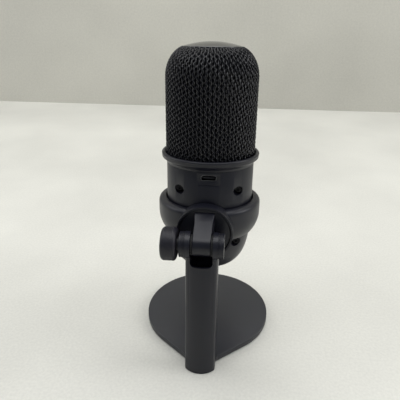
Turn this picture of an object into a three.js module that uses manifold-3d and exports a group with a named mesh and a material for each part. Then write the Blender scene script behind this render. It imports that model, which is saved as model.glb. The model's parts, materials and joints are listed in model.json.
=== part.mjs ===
// Desktop microphone: a cylindrical head held in a ring, tilting on a slim fork stand.
// Millimetres, +Z up, origin on the table under the middle of the round base.
// The talking side faces -Y; the column, the hinge and the USB socket are at the rear, +Y.

import * as THREE from "three";
import { mergeVertices } from "three/addons/utils/BufferGeometryUtils.js";
import Module from "manifold-3d";

const wasm = await Module();
wasm.setup();

// ---------------------------------------------------------------- driving dimensions

// Fineness of round shapes
const COARSE = 10;
const MEDIUM = 20;
const FINE = 36;

// Running gap between pieces that rest on one another
const GAP = 0.3;

// Base
const BASE_RADIUS = 41.3;
const PLATE_TOP = 4.0;
const PAD_TOP = 0.8;
const TAIL_ANGLE = THREE.MathUtils.degToRad(40);
const PAD_INSET = 1.0;

// Column
const COLUMN_HALF = 9.0;
const COLUMN_FRONT = 44.5;
const COLUMN_REAR = 56.7;
const COLUMN_REAR_RADIUS = 12.0;
const COLUMN_LEAN = 0.09;
const COLUMN_WALL = 2.3;
const COLUMN_FOOT = 0.3;
const FOOT_POCKET_HALF = 6.9;
const FOOT_POCKET_REAR = 53.9;
const FOOT_POCKET_TOP = 3.5;
const BASE_SCREW_X = 3.6;
const BASE_SCREW_Y = 49.4;

// Hinge between the column's fork and the head's arm
const HINGE_Y = 44.0;
const HINGE_Z = 80.8;
const EAR_RADIUS = 7.3;
const EAR_BOSS_RADIUS = 7.0;
const EAR_BOSS_END = 12.0;
const SLOT_HALF = 6.2;
const SLOT_FLOOR = 70.0;
const SLOT_POCKET_FRONT = 43.5;
const SLOT_POCKET_WALL = 1.3;
const SLOT_POCKET_FLOOR = 63.5;
const BOLT_RADIUS = 2.0;
const BOLT_BORE = 2.1;
const KNOB_START = 13.5;
const KNOB_END = 22.0;
const KNOB_RADIUS = 9.2;

// Head: leans forward at rest, and is turned a little in its ring
const HEAD_LEAN = THREE.MathUtils.degToRad(3.93);
const HEAD_TWIST = THREE.MathUtils.degToRad(2.7);
const ARM_REACH = 46.41;
const ARM_DROP = 0.62;

// Ring that carries the head; heights below are along the head's own axis
const RING_INNER = 27.2;
const RING_OUTER = 31.5;
const RING_WIDEST = 5.5;
const RING_TOP = 13.2;
const RING_BOTTOM = -6.4;
const RING_TOP_DROP = 2.6;
const RING_FOOT_DROP = 3.6;
const BOSS_RADIUS = 16.1;
const BOSS_HEIGHT = 1.4;
const BOSS_FACE = 33.8;
const BOSS_FLOOR = 31.2;
const BOSS_BORE = 15.0;
const ARM_HALF = 5.0;
const ARM_ROOT_HALF = 5.65;
const BARREL_RADIUS = 5.8;
const ARM_SCREW_HEIGHTS = [-2.0, 7.5];

// Shells
const BODY_RADIUS = 26.3;
const SHELL_WALL = 2.0;
const SHELL_TOP = 34.9;
const DOME_START = 12.2;
const DOME_DEPTH = 44.6;
const DOME_POWER = 3.45;
const SHELL_SCREW_ANGLE = THREE.MathUtils.degToRad(40);
const SHELL_SCREW_HEIGHTS = [22.9, -10.2];
const SHELL_SCREW_SEAT = 15.3;

// Socket
const SOCKET_HEIGHT = 31.7;
const SOCKET_WIDTH = 8.94;
const SOCKET_THICKNESS = 3.2;
const SOCKET_FACE = 25.2;
const BOARD_REAR = 14.6;
const BOARD_THICKNESS = 1.6;
const BOARD_HALF = 12.0;

// Collar, grille and touch cap
const COLLAR_BOTTOM = 35.2;
const COLLAR_TOP = 41.6;
const COLLAR_RADIUS = 29.3;
const COLLAR_RIM = 27.4;
const LEDGE_TOP = 38.0;
const GRILLE_RADIUS = 26.8;
const GRILLE_WALL = 0.8;
const SHOULDER_START = 84.0;
const SHOULDER_CENTRE = 13.0;
const GRILLE_CROWN = 101.6;
const CAP_RADIUS = 16.3;
const CAP_EDGE = 100.9;
const CAP_TOP = 103.2;
const FOAM_THICKNESS = 2.8;

// Pickup
const CAPSULE_HEIGHT = 70.0;
const CAPSULE_RADIUS = 7.0;
const POST_INNER = 17.6;

// ---------------------------------------------------------------- materials

const finish = (color, roughness, metalness = 0) =>
  new THREE.MeshStandardMaterial({ color, roughness, metalness });

const charcoalPlastic = finish(0x2d2e32, 0.5);
const darkPlastic = finish(0x26252a, 0.45);
const glossPlastic = finish(0x0c0c0e, 0.08);
const paintedSteel = finish(0x3a3a3c, 0.42, 0.3);
const blackMesh = finish(0x101012, 0.35, 0.5);
const softRubber = finish(0x161617, 0.9);
const blackFoam = finish(0x0b0b0c, 1.0);
const zincSteel = finish(0xb9bcc0, 0.35, 1.0);
const blackSteel = finish(0x1b1b1d, 0.4, 0.8);
const capsuleMetal = finish(0xc4c6c8, 0.3, 1.0);
const boardGreen = finish(0x17402a, 0.5);
const clearPlastic = finish(0xd9dde0, 0.15);
const whitePlastic = finish(0xdedede, 0.4);

// ---------------------------------------------------------------- solids

// A closed geometry as a manifold-3d solid.
function toSolid(geometry) {
  const bare = geometry.clone();
  bare.deleteAttribute("normal");
  bare.deleteAttribute("uv");
  const merged = mergeVertices(bare, 1e-4);
  return new wasm.Manifold(
    new wasm.Mesh({
      numProp: 3,
      vertProperties: merged.attributes.position.array,
      triVerts: new Uint32Array(merged.index.array),
    }),
  );
}

// A manifold-3d solid as a flat-shaded geometry.
function toGeometry(solid) {
  const { vertProperties, triVerts } = solid.getMesh();
  const indexed = new THREE.BufferGeometry();
  indexed.setAttribute("position", new THREE.BufferAttribute(vertProperties, 3));
  indexed.setIndex(new THREE.BufferAttribute(triVerts, 1));
  const flat = indexed.toNonIndexed();
  flat.computeVertexNormals();
  return flat;
}

function combine(operation, first, others) {
  return toGeometry(
    others.reduce((solid, other) => solid[operation](toSolid(other)), toSolid(first)),
  );
}

const join = (first, ...others) => combine("add", first, others);
const cut = (first, ...others) => combine("subtract", first, others);
const common = (first, ...others) => combine("intersect", first, others);

// ---------------------------------------------------------------- shape helpers

const point = (x, y) => new THREE.Vector2(x, y);

// Points of an elliptical arc, angles in degrees, counter-clockwise when end > start.
function arc(centreX, centreY, radiusX, radiusY, start, end, steps) {
  const radians = THREE.MathUtils.degToRad;
  const clockwise = end < start;
  const curve = new THREE.EllipseCurve(
    centreX,
    centreY,
    radiusX,
    radiusY,
    radians(start),
    radians(end),
    clockwise,
  );
  return curve.getPoints(steps);
}

// A profile of (radius, height) points turned about Z.
function turned(profile, segments = FINE) {
  return new THREE.LatheGeometry(profile, segments).rotateX(Math.PI / 2);
}

// A ring of rectangular section about Z.
function tube(inner, outer, bottom, top, segments = FINE) {
  const corners = [
    point(inner, bottom),
    point(outer, bottom),
    point(outer, top),
    point(inner, top),
    point(inner, bottom),
  ];
  return turned(corners, segments);
}

// A cylinder about the x, y or z axis, between two places on that axis.
function cylinder(axis, radius, from, to, segments = COARSE) {
  const geometry = new THREE.CylinderGeometry(radius, radius, to - from, segments);
  geometry.translate(0, (from + to) / 2, 0);
  if (axis === "x") geometry.rotateZ(-Math.PI / 2);
  if (axis === "z") geometry.rotateX(Math.PI / 2);
  return geometry;
}

// A box between two places on each axis.
function box([x0, x1], [y0, y1], [z0, z1]) {
  return new THREE.BoxGeometry(x1 - x0, y1 - y0, z1 - z0).translate(
    (x0 + x1) / 2,
    (y0 + y1) / 2,
    (z0 + z1) / 2,
  );
}

// A flat outline given depth along Z.
function prism(shape, bottom, top, curveSegments = COARSE) {
  const settings = { depth: top - bottom, bevelEnabled: false, curveSegments };
  return new THREE.ExtrudeGeometry(shape, settings).translate(0, 0, bottom);
}

// An outline drawn in (y, z) given depth along X.
function prismAlongX(shape, from, to, curveSegments = COARSE) {
  const turn = new THREE.Matrix4().set(0, 0, 1, 0, 1, 0, 0, 0, 0, 1, 0, 0, 0, 0, 0, 1);
  return prism(shape, from, to, curveSegments).applyMatrix4(turn);
}

// An outline drawn in (x, z) given depth along Y.
function prismAlongY(shape, from, to, curveSegments = COARSE) {
  return prism(shape, -to, -from, curveSegments).rotateX(Math.PI / 2);
}

// A rectangle with round corners, centred on a place.
function roundedRectangle(width, height, radius, centreX = 0, centreY = 0) {
  const right = centreX + width / 2 - radius;
  const left = centreX - width / 2 + radius;
  const top = centreY + height / 2 - radius;
  const bottom = centreY - height / 2 + radius;
  const quarter = Math.PI / 2;
  const shape = new THREE.Shape();
  shape.absarc(right, bottom, radius, -quarter, 0, false);
  shape.absarc(right, top, radius, 0, quarter, false);
  shape.absarc(left, top, radius, quarter, 2 * quarter, false);
  shape.absarc(left, bottom, radius, 2 * quarter, 3 * quarter, false);
  shape.closePath();
  return shape;
}

// Where the tangent from a place touches a circle; side is +1 or -1.
function touch(from, centre, radius, side) {
  const away = from.clone().sub(centre);
  const angle = away.angle() + side * Math.acos(radius / away.length());
  return { at: centre.clone().add(point(radius, 0).rotateAround(point(0, 0), angle)), angle };
}

// A round-wire lead through hand-placed points.
function lead(points, radius) {
  const route = new THREE.CatmullRomCurve3(points.map((p) => new THREE.Vector3(...p)));
  const section = new THREE.Shape(arc(0, 0, radius, radius, 0, 360, 8));
  return new THREE.ExtrudeGeometry(section, { extrudePath: route, steps: 20 });
}

// A screw along +Z: the head from 0 up to headHeight, the shank below it.
function screw(headRadius, headHeight, shankRadius, length, seat = headRadius) {
  const profile = [
    point(0, -length),
    point(shankRadius, -length),
    point(shankRadius, 0),
    point(seat, 0),
    point(headRadius, headHeight),
    point(0, headHeight),
  ];
  const recess = cylinder("z", headRadius * 0.42, headHeight * 0.45, headHeight + 1, 6);
  return cut(turned(profile, COARSE), recess);
}

// ---------------------------------------------------------------- scene helpers

const microphone = new THREE.Group();

const yoke = new THREE.Group();
yoke.rotation.x = HEAD_LEAN;
yoke.position
  .set(0, ARM_REACH, ARM_DROP)
  .applyEuler(yoke.rotation)
  .negate()
  .add(new THREE.Vector3(0, HINGE_Y, HINGE_Z));
microphone.add(yoke);

const head = new THREE.Group();
head.rotation.z = HEAD_TWIST;
yoke.add(head);

function add(parent, name, geometry, material) {
  const mesh = new THREE.Mesh(geometry, material);
  mesh.name = name;
  parent.add(mesh);
  return mesh;
}

// ---------------------------------------------------------------- base

// The round plate's outline with straight flanks running back to the column.
function teardrop(inset, endHalf, endY) {
  const radius = BASE_RADIUS - inset;
  const quarter = Math.PI / 2;
  const flank = point(-Math.cos(TAIL_ANGLE), Math.sin(TAIL_ANGLE));
  const leave = point(Math.sin(TAIL_ANGLE), Math.cos(TAIL_ANGLE)).multiplyScalar(radius);
  const run = (leave.x - endHalf - 1.6) / -flank.x;
  const turn = leave.clone().addScaledVector(flank, run);
  const shape = new THREE.Shape();
  shape.absarc(0, 0, radius, quarter - TAIL_ANGLE, quarter + TAIL_ANGLE, true);
  shape.lineTo(-turn.x, turn.y);
  shape.quadraticCurveTo(-endHalf, turn.y + 1.3, -endHalf, endY);
  shape.lineTo(endHalf, endY);
  shape.quadraticCurveTo(endHalf, turn.y + 1.3, turn.x, turn.y);
  shape.closePath();
  return shape;
}

const baseScrewPlaces = [-BASE_SCREW_X, BASE_SCREW_X];

function makeBase() {
  const tabHalf = FOOT_POCKET_HALF - GAP;
  const tabRear = FOOT_POCKET_REAR - GAP;
  const tabTop = FOOT_POCKET_TOP - GAP;
  const notchHalf = COLUMN_HALF + GAP;
  const notchFront = COLUMN_FRONT - COLUMN_LEAN * PLATE_TOP - GAP;
  const plate = prism(teardrop(0, notchHalf, COLUMN_FRONT + 2.3), PAD_TOP, PLATE_TOP, FINE);
  const notch = box([-notchHalf, notchHalf], [notchFront, COLUMN_REAR], [-1, PLATE_TOP + 1]);
  const tab = box([-tabHalf, tabHalf], [COLUMN_FRONT - 2, tabRear], [PAD_TOP, tabTop]);
  const holes = baseScrewPlaces.flatMap((x) => [
    cylinder("z", 1.5, 0, PLATE_TOP).translate(x, BASE_SCREW_Y, 0),
    cylinder("z", 2.7, 0, PAD_TOP + 1.1).translate(x, BASE_SCREW_Y, 0),
  ]);
  add(microphone, "base_plate", cut(join(cut(plate, notch), tab), ...holes), paintedSteel);

  const padHalf = tabHalf - 0.4;
  const pad = join(
    cut(prism(teardrop(PAD_INSET, notchHalf, COLUMN_FRONT + 1.2), 0, PAD_TOP, FINE), notch),
    box([-padHalf, padHalf], [COLUMN_FRONT - 2, tabRear - 0.4], [0, PAD_TOP]),
  );
  add(microphone, "foot_pad", pad, softRubber);

  baseScrewPlaces.forEach((x, index) => {
    const fastener = screw(2.5, 0.8, 1.3, 9.5).rotateX(Math.PI);
    fastener.translate(x, BASE_SCREW_Y, PAD_TOP + 1.0);
    add(microphone, `base_screw_${index + 1}`, fastener, zincSteel);
  });
}

// ---------------------------------------------------------------- column

// D-shaped section: flat front, straight sides, rounded back.
function columnSection(inset) {
  const half = COLUMN_HALF - inset;
  const radius = COLUMN_REAR_RADIUS - inset;
  const centre = COLUMN_REAR - COLUMN_REAR_RADIUS;
  const side = half * 0.85;
  const swing = Math.asin(side / radius);
  const back = centre + radius * Math.cos(swing);
  const quarter = Math.PI / 2;
  const shape = new THREE.Shape();
  shape.moveTo(-half, COLUMN_FRONT + inset);
  shape.lineTo(half, COLUMN_FRONT + inset);
  shape.lineTo(half, back - 3);
  shape.quadraticCurveTo(half, back - 1, side, back);
  shape.absarc(0, centre, radius, quarter - swing, quarter + swing, false);
  shape.quadraticCurveTo(-half, back - 1, -half, back - 3);
  shape.closePath();
  return shape;
}

// The section carried up from the foot, leaning towards the head.
function columnPrism(inset, bottom, top) {
  const lean = new THREE.Matrix4().set(
    1, 0, 0, 0,
    0, 1, -COLUMN_LEAN, 0,
    0, 0, 1, 0,
    0, 0, 0, 1,
  );
  return prism(columnSection(inset), bottom, top, 6).applyMatrix4(lean);
}

// A shape about the hinge axis, moved to the hinge.
const atHinge = (geometry) => geometry.translate(0, HINGE_Y, HINGE_Z);

function makeColumn() {
  const post = columnPrism(0, COLUMN_FOOT, HINGE_Z);
  const ears = atHinge(cylinder("x", EAR_RADIUS, -COLUMN_HALF, COLUMN_HALF, FINE));
  const bosses = atHinge(cylinder("x", EAR_BOSS_RADIUS, -EAR_BOSS_END, EAR_BOSS_END, FINE));

  const slotHeight = HINGE_Z + 10 - SLOT_FLOOR;
  const slotShape = roundedRectangle(2 * SLOT_HALF, slotHeight, 2, 0, SLOT_FLOOR + slotHeight / 2);
  const slot = prismAlongY(slotShape, COLUMN_FRONT - 15, COLUMN_REAR);
  const wellHalf = SLOT_HALF - 0.3;
  const well = common(
    columnPrism(SLOT_POCKET_WALL, SLOT_POCKET_FLOOR, SLOT_FLOOR + 3),
    box([-wellHalf, wellHalf], [SLOT_POCKET_FRONT, COLUMN_REAR], [0, HINGE_Z]),
  );
  const bore = atHinge(cylinder("x", BOLT_BORE, -EAR_BOSS_END - 1, EAR_BOSS_END + 1, MEDIUM));
  const nutPocket = atHinge(cylinder("x", 4.25, -EAR_BOSS_END - 1, -7.3, 6));
  const capRecess = atHinge(cylinder("x", 5.3, -EAR_BOSS_END - 1, -10.7, MEDIUM));

  const pillars = baseScrewPlaces.map((x) =>
    cylinder("z", 2.8, FOOT_POCKET_TOP - 1, 15).translate(x, BASE_SCREW_Y, 0),
  );
  const hollow = cut(columnPrism(COLUMN_WALL, FOOT_POCKET_TOP - 0.5, 62), ...pillars);
  const pocketSides = [-FOOT_POCKET_HALF, FOOT_POCKET_HALF];
  const pocket = box(pocketSides, [COLUMN_FRONT - 5, FOOT_POCKET_REAR], [0, FOOT_POCKET_TOP]);
  const pilots = baseScrewPlaces.map((x) =>
    cylinder("z", 1.4, 0, 13).translate(x, BASE_SCREW_Y, 0),
  );
  const solid = join(post, ears, bosses);
  const hollows = [slot, well, bore, nutPocket, capRecess, hollow, pocket, ...pilots];
  const column = cut(solid, ...hollows);
  add(microphone, "stand_column", column, charcoalPlastic);
}

// ---------------------------------------------------------------- clamp

function makeClamp() {
  const neck = 4.0;
  const edge = 2.0;
  const knobProfile = [
    point(0, EAR_BOSS_END + GAP),
    point(neck, EAR_BOSS_END + GAP),
    point(neck, KNOB_START),
    ...arc(KNOB_RADIUS - edge, KNOB_START + edge, edge, edge, -90, 0, 4),
    ...arc(KNOB_RADIUS - edge, KNOB_END - edge, edge, edge, 0, 90, 4),
    point(0, KNOB_END),
  ];
  const socket = cylinder("x", BOLT_RADIUS + 0.1, 0, KNOB_END - 3, MEDIUM);
  const knobBody = turned(knobProfile, FINE).rotateY(Math.PI / 2);
  const knob = cut(knobBody, socket, cylinder("x", 3.7, KNOB_END - 6, KNOB_END - 3 + 0.1, 6));
  add(microphone, "clamp_knob", atHinge(knob), darkPlastic);

  const bolt = join(
    cylinder("x", BOLT_RADIUS, -10.2, KNOB_END - 3.3, MEDIUM),
    cylinder("x", 3.5, KNOB_END - 5.8, KNOB_END - 3.2, 6),
  );
  add(microphone, "clamp_bolt", atHinge(bolt), zincSteel);

  const nut = cut(cylinder("x", 4.04, -10.6, -7.5, 6), cylinder("x", BOLT_BORE, -12, -6, MEDIUM));
  add(microphone, "clamp_nut", atHinge(nut), zincSteel);

  const cap = cylinder("x", 5.15, -EAR_BOSS_END, -10.8, MEDIUM);
  add(microphone, "nut_cap", atHinge(cap), darkPlastic);

  [-1, 1].forEach((side) => {
    const inner = ARM_HALF + 0.05;
    const outer = SLOT_HALF - 0.05;
    const washer = cut(
      cylinder("x", 5.8, inner, outer, MEDIUM),
      cylinder("x", BOLT_BORE + 0.1, 0, SLOT_HALF + 1, MEDIUM),
    );
    if (side < 0) washer.rotateY(Math.PI);
    const name = side < 0 ? "friction_washer_left" : "friction_washer_right";
    add(microphone, name, atHinge(washer), softRubber);
  });
}

// ---------------------------------------------------------------- ring and hinge arm

// Outer radius of the ring at a height: it bulges, and falls away faster at the top.
function ringRadius(height) {
  const rising = height > RING_WIDEST;
  const reach = rising ? RING_TOP - RING_WIDEST : RING_WIDEST - RING_BOTTOM;
  const power = rising ? 8 : 2.4;
  const drop = rising ? RING_TOP_DROP : RING_FOOT_DROP;
  const share = Math.abs(height - RING_WIDEST) / reach;
  return RING_OUTER - drop * share ** power;
}

function ringProfile() {
  const steps = 14;
  const profile = [point(RING_INNER, RING_BOTTOM)];
  for (let step = 0; step <= steps; step += 1) {
    const height = THREE.MathUtils.lerp(RING_BOTTOM, RING_TOP, step / steps);
    profile.push(point(ringRadius(height), height));
  }
  profile.push(point(RING_INNER, RING_TOP), point(RING_INNER, RING_BOTTOM));
  return profile;
}

// A solid with its axis along +Z, turned so that it points to the rear at a height.
const towardsRear = (geometry, y, height) =>
  geometry.rotateX(-Math.PI / 2).translate(0, y, height);

function makeRing() {
  const bossAt = (radius, from, to) =>
    cylinder("y", radius, from, to, FINE).translate(0, 0, BOSS_HEIGHT);
  const bore = cylinder("z", RING_INNER, -30, 40, FINE);
  const boss = cut(bossAt(BOSS_RADIUS, 20, BOSS_FACE), bore);
  const screwHoles = ARM_SCREW_HEIGHTS.flatMap((height) => [
    cylinder("y", 1.6, 20, BOSS_FACE).translate(0, 0, height),
    cylinder("y", 2.8, 20, RING_INNER + 1.9).translate(0, 0, height),
  ]);
  const cup = bossAt(BOSS_BORE, BOSS_FLOOR, BOSS_FACE + 1);
  add(yoke, "yoke_ring", cut(join(turned(ringProfile()), boss), cup, ...screwHoles), charcoalPlastic);

  const liner = tube(BODY_RADIUS + 0.35, RING_INNER - 0.25, RING_BOTTOM + 3, RING_TOP - 3);
  add(yoke, "ring_liner", liner, softRubber);
}

// Side view of the arm: a wedge from the boss to the hinge barrel.
function armOutline() {
  const root = BOSS_FLOOR + GAP;
  const barrel = point(ARM_REACH, ARM_DROP);
  const top = point(root + 1.5, 14);
  const bottom = point(root + 1.5, -7);
  const upper = touch(top, barrel, BARREL_RADIUS, -1);
  const lower = touch(bottom, barrel, BARREL_RADIUS, 1);
  const shape = new THREE.Shape();
  shape.moveTo(root, bottom.y);
  shape.lineTo(bottom.x, bottom.y);
  shape.lineTo(lower.at.x, lower.at.y);
  shape.absarc(barrel.x, barrel.y, BARREL_RADIUS, lower.angle, upper.angle, false);
  shape.lineTo(top.x, top.y);
  shape.lineTo(root, top.y);
  shape.closePath();
  return shape;
}

function armPlan() {
  const shape = new THREE.Shape();
  const neckY = ARM_REACH - 7;
  shape.moveTo(-ARM_ROOT_HALF, 25);
  shape.lineTo(ARM_ROOT_HALF, 25);
  shape.lineTo(ARM_ROOT_HALF, 34);
  shape.lineTo(ARM_HALF, neckY);
  shape.lineTo(ARM_HALF, 60);
  shape.lineTo(-ARM_HALF, 60);
  shape.lineTo(-ARM_HALF, neckY);
  shape.lineTo(-ARM_ROOT_HALF, 34);
  shape.closePath();
  return shape;
}

function makeArm() {
  const wedge = common(
    prismAlongX(armOutline(), -ARM_ROOT_HALF - 1, ARM_ROOT_HALF + 1, 16),
    prism(armPlan(), -30, 30),
  );
  const floor = BOSS_FLOOR + GAP;
  const disc = cylinder("y", BOSS_BORE - GAP, floor, floor + 1.4, FINE);
  disc.translate(0, 0, BOSS_HEIGHT);
  const bore = cylinder("x", BOLT_BORE, -10, 10, MEDIUM).translate(0, ARM_REACH, ARM_DROP);
  const pilots = ARM_SCREW_HEIGHTS.map((height) =>
    cylinder("y", 1.4, 30, 38.5).translate(0, 0, height),
  );
  add(yoke, "hinge_arm", cut(join(wedge, disc), bore, ...pilots), charcoalPlastic);

  ARM_SCREW_HEIGHTS.forEach((height, index) => {
    const fastener = screw(2.5, 1.2, 1.3, 8.5).rotateX(Math.PI);
    towardsRear(fastener, RING_INNER + 1.7, height);
    add(yoke, `arm_screw_${index + 1}`, fastener, blackSteel);
  });
}

// ---------------------------------------------------------------- shells

// Half of the head's lower outline, from the bottom of the dome up to the shell's top.
function domeProfile(inset, top) {
  const radius = BODY_RADIUS - inset;
  const depth = DOME_DEPTH - inset;
  const steps = 9;
  const profile = [];
  for (let step = 0; step <= steps; step += 1) {
    const swing = (step / steps) * (Math.PI / 2);
    const out = radius * Math.sin(swing) ** (2 / DOME_POWER);
    const down = depth * Math.cos(swing) ** (2 / DOME_POWER);
    profile.push(point(step === 0 ? 0 : out, DOME_START - (step === steps ? 0 : down)));
  }
  profile.push(point(radius, top), point(0, top));
  return profile;
}

const shellScrewX = BODY_RADIUS * Math.sin(SHELL_SCREW_ANGLE);
const shellScrewPlaces = SHELL_SCREW_HEIGHTS.flatMap((height) =>
  [-shellScrewX, shellScrewX].map((x) => ({ x, height })),
);
const boardScrewPlaces = [
  { x: -8.5, height: -12 },
  { x: 8.5, height: 20 },
];

function makeShells() {
  const outside = turned(domeProfile(0, SHELL_TOP));
  const skin = cut(outside, turned(domeProfile(SHELL_WALL, SHELL_TOP + 1)));
  const rearHalf = box([-40, 40], [GAP / 2, 40], [-60, 60]);
  const frontHalf = box([-40, 40], [-40, -GAP / 2], [-60, 60]);

  const upright = (radius, from, to, { x, height }, segments = COARSE) =>
    cylinder("y", radius, from, to, segments).translate(x, 0, height);
  const seats = shellScrewPlaces.map((place) =>
    upright(4.2, SHELL_SCREW_SEAT - 2, 30, place, MEDIUM),
  );
  const boardPosts = boardScrewPlaces.map((place) => upright(2.6, BOARD_REAR + GAP, 30, place));
  const inside = common(join(seats[0], ...seats.slice(1), ...boardPosts), outside);
  const counterbores = shellScrewPlaces.flatMap((place) => [
    upright(2.75, SHELL_SCREW_SEAT, 30, place, MEDIUM),
    upright(1.5, 0, 30, place),
  ]);
  const boardPilots = boardScrewPlaces.map((place) => upright(1.1, 0, 20.5, place));

  const opening = roundedRectangle(SOCKET_WIDTH + 0.4, SOCKET_THICKNESS + 0.4, 1.75, 0, SOCKET_HEIGHT);
  const dish = roundedRectangle(16, 3.1 * 2, 3, 0, SOCKET_HEIGHT - 1.3);
  const rear = cut(
    join(common(skin, rearHalf), inside),
    ...counterbores,
    ...boardPilots,
    prismAlongY(opening, 10, 30, 6),
    prismAlongY(dish, BODY_RADIUS - 0.8, 30, 6),
  );
  add(head, "rear_shell", rear, charcoalPlastic);

  const pillarEnd = SHELL_SCREW_SEAT - 2 - GAP;
  const room = turned(domeProfile(SHELL_WALL + GAP, SHELL_TOP));
  const pillars = shellScrewPlaces.flatMap((place) => [
    common(upright(3.2, -30, 0, place), outside),
    common(upright(3.2, -1, pillarEnd, place), room),
  ]);
  const pillarPilots = shellScrewPlaces.map((place) => upright(1.25, 0, 20, place));
  const lensHole = cylinder("y", 1.6, -30, -10).translate(0, 0, SOCKET_HEIGHT - 4);
  const front = cut(
    join(common(skin, frontHalf), ...pillars),
    lensHole,
    ...pillarPilots,
  );
  add(head, "front_shell", front, charcoalPlastic);

  shellScrewPlaces.forEach(({ x, height }, index) => {
    const fastener = screw(2.3, 1.8, 1.15, 9);
    towardsRear(fastener, SHELL_SCREW_SEAT + 0.1, height).translate(x, 0, 0);
    add(head, `shell_screw_${index + 1}`, fastener, blackSteel);
  });
}

// ---------------------------------------------------------------- electronics

function makeElectronics() {
  const front = BOARD_REAR - BOARD_THICKNESS;
  const board = cut(
    join(
      box([-BOARD_HALF, BOARD_HALF], [front, BOARD_REAR], [-17, 36]),
      box([-4, 4], [front - 1.2, front + 0.5], [4, 12]),
      box([-6, 6], [front - 4.5, front + 0.5], [28, 33]),
      cylinder("y", 3, front - 6, front + 0.5, COARSE).translate(6, 0, -8),
    ),
    ...boardScrewPlaces.map(({ x, height }) =>
      cylinder("y", 1.3, 0, 20).translate(x, 0, height),
    ),
  );
  add(head, "main_board", board, boardGreen);

  boardScrewPlaces.forEach(({ x, height }, index) => {
    const fastener = screw(1.9, 1.2, 1.0, 6).rotateX(Math.PI);
    towardsRear(fastener, front - 0.1, height).translate(x, 0, 0);
    add(head, `board_screw_${index + 1}`, fastener, zincSteel);
  });

  const start = BOARD_REAR + 0.1;
  const outline = roundedRectangle(SOCKET_WIDTH, SOCKET_THICKNESS, 1.55, 0, SOCKET_HEIGHT);
  const mouth = roundedRectangle(
    SOCKET_WIDTH - 0.6,
    SOCKET_THICKNESS - 0.6,
    1.25,
    0,
    SOCKET_HEIGHT,
  );
  const can = cut(prismAlongY(outline, start, SOCKET_FACE, 5), prismAlongY(mouth, start - 1, 30, 5));
  add(head, "usb_socket_shell", can, zincSteel);

  const plug = join(
    prismAlongY(roundedRectangle(7.9, 2.1, 0.9, 0, SOCKET_HEIGHT), start, start + 4, 4),
    box([-3.35, 3.35], [start + 3, SOCKET_FACE - 0.7], [SOCKET_HEIGHT - 0.35, SOCKET_HEIGHT + 0.35]),
  );
  add(head, "usb_socket_tongue", plug, darkPlastic);

  const lensHeight = SOCKET_HEIGHT - 4;
  const lens = join(
    cylinder("y", 1.35, -BODY_RADIUS, -21, COARSE),
    cylinder("y", 2.4, -22.5, -21, COARSE),
  ).translate(0, 0, lensHeight);
  add(head, "status_lens", lens, clearPlastic);
  const statusBoard = join(
    box([-6, 6], [-20, -18.8], [lensHeight - 5, lensHeight + 5]),
    box([-1, 1], [-20.7, -19.5], [lensHeight - 1, lensHeight + 1]),
  );
  add(head, "status_board", statusBoard, boardGreen);
}

// ---------------------------------------------------------------- collar and grille

function makeCollar() {
  const shellInner = BODY_RADIUS - SHELL_WALL;
  const spigot = [shellInner - 1.7, shellInner - GAP];
  const spigotBottom = COLLAR_BOTTOM - 1.5;
  const lip = 0.9;
  const profile = [
    point(spigot[0], spigotBottom),
    point(spigot[1], spigotBottom),
    point(spigot[1], COLLAR_BOTTOM),
    point(BODY_RADIUS, COLLAR_BOTTOM),
    ...arc(BODY_RADIUS + 2.2, COLLAR_BOTTOM + 0.2, 2.1, 2.1, 170, 120, 3),
    point(COLLAR_RADIUS - 0.2, COLLAR_TOP - 2.9),
    ...arc(COLLAR_RADIUS - lip, COLLAR_TOP - lip, lip, lip, -20, 90, 4),
    point(COLLAR_RIM, COLLAR_TOP),
    point(COLLAR_RIM, LEDGE_TOP),
    point(spigot[0], LEDGE_TOP),
    point(spigot[0], spigotBottom),
  ];
  add(head, "collar_ring", turned(profile), charcoalPlastic);
}

// The grille's outline at some depth below its surface, from the bottom to the cap's edge.
function grilleCurve(inset, bottom, edge) {
  const across = GRILLE_RADIUS - SHOULDER_CENTRE - inset;
  const rise = GRILLE_CROWN - SHOULDER_START - inset;
  const stop = THREE.MathUtils.radToDeg(Math.acos((edge - SHOULDER_CENTRE) / across));
  return [
    point(GRILLE_RADIUS - inset, bottom),
    ...arc(SHOULDER_CENTRE, SHOULDER_START, across, rise, 0, stop, 7),
  ];
}

function makeGrille() {
  const edge = CAP_RADIUS + GAP;
  const bottom = LEDGE_TOP + GAP;
  const outer = grilleCurve(0, bottom, edge);
  const inner = grilleCurve(GRILLE_WALL, bottom, edge).reverse();
  add(head, "grille", turned([...outer, ...inner, outer[0]]), blackMesh);

  const foamInset = GRILLE_WALL + GAP;
  const foamOuter = grilleCurve(foamInset, bottom + 2.6, edge);
  const foamInner = grilleCurve(foamInset + FOAM_THICKNESS, bottom + 2.6, edge).reverse();
  add(head, "grille_foam", turned([...foamOuter, ...foamInner, foamOuter[0]]), blackFoam);
}

// ---------------------------------------------------------------- frame, cap and pickup

function makeBasketFrame() {
  const bottom = LEDGE_TOP + GAP;
  const plateBottom = 90;
  const plateTop = 92;
  const postTop = plateBottom + 1;
  const frame = join(
    tube(19, 25, bottom, bottom + 2.2),
    box([POST_INNER, POST_INNER + 2.6], [-4, 4], [bottom, postTop]),
    box([-POST_INNER - 2.6, -POST_INNER], [-4, 4], [bottom, postTop]),
    tube(5, 20, plateBottom, plateTop),
    tube(8.5, 10.5, plateTop - 0.5, 97.6, MEDIUM),
  );
  add(head, "basket_frame", frame, darkPlastic);
}

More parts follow.
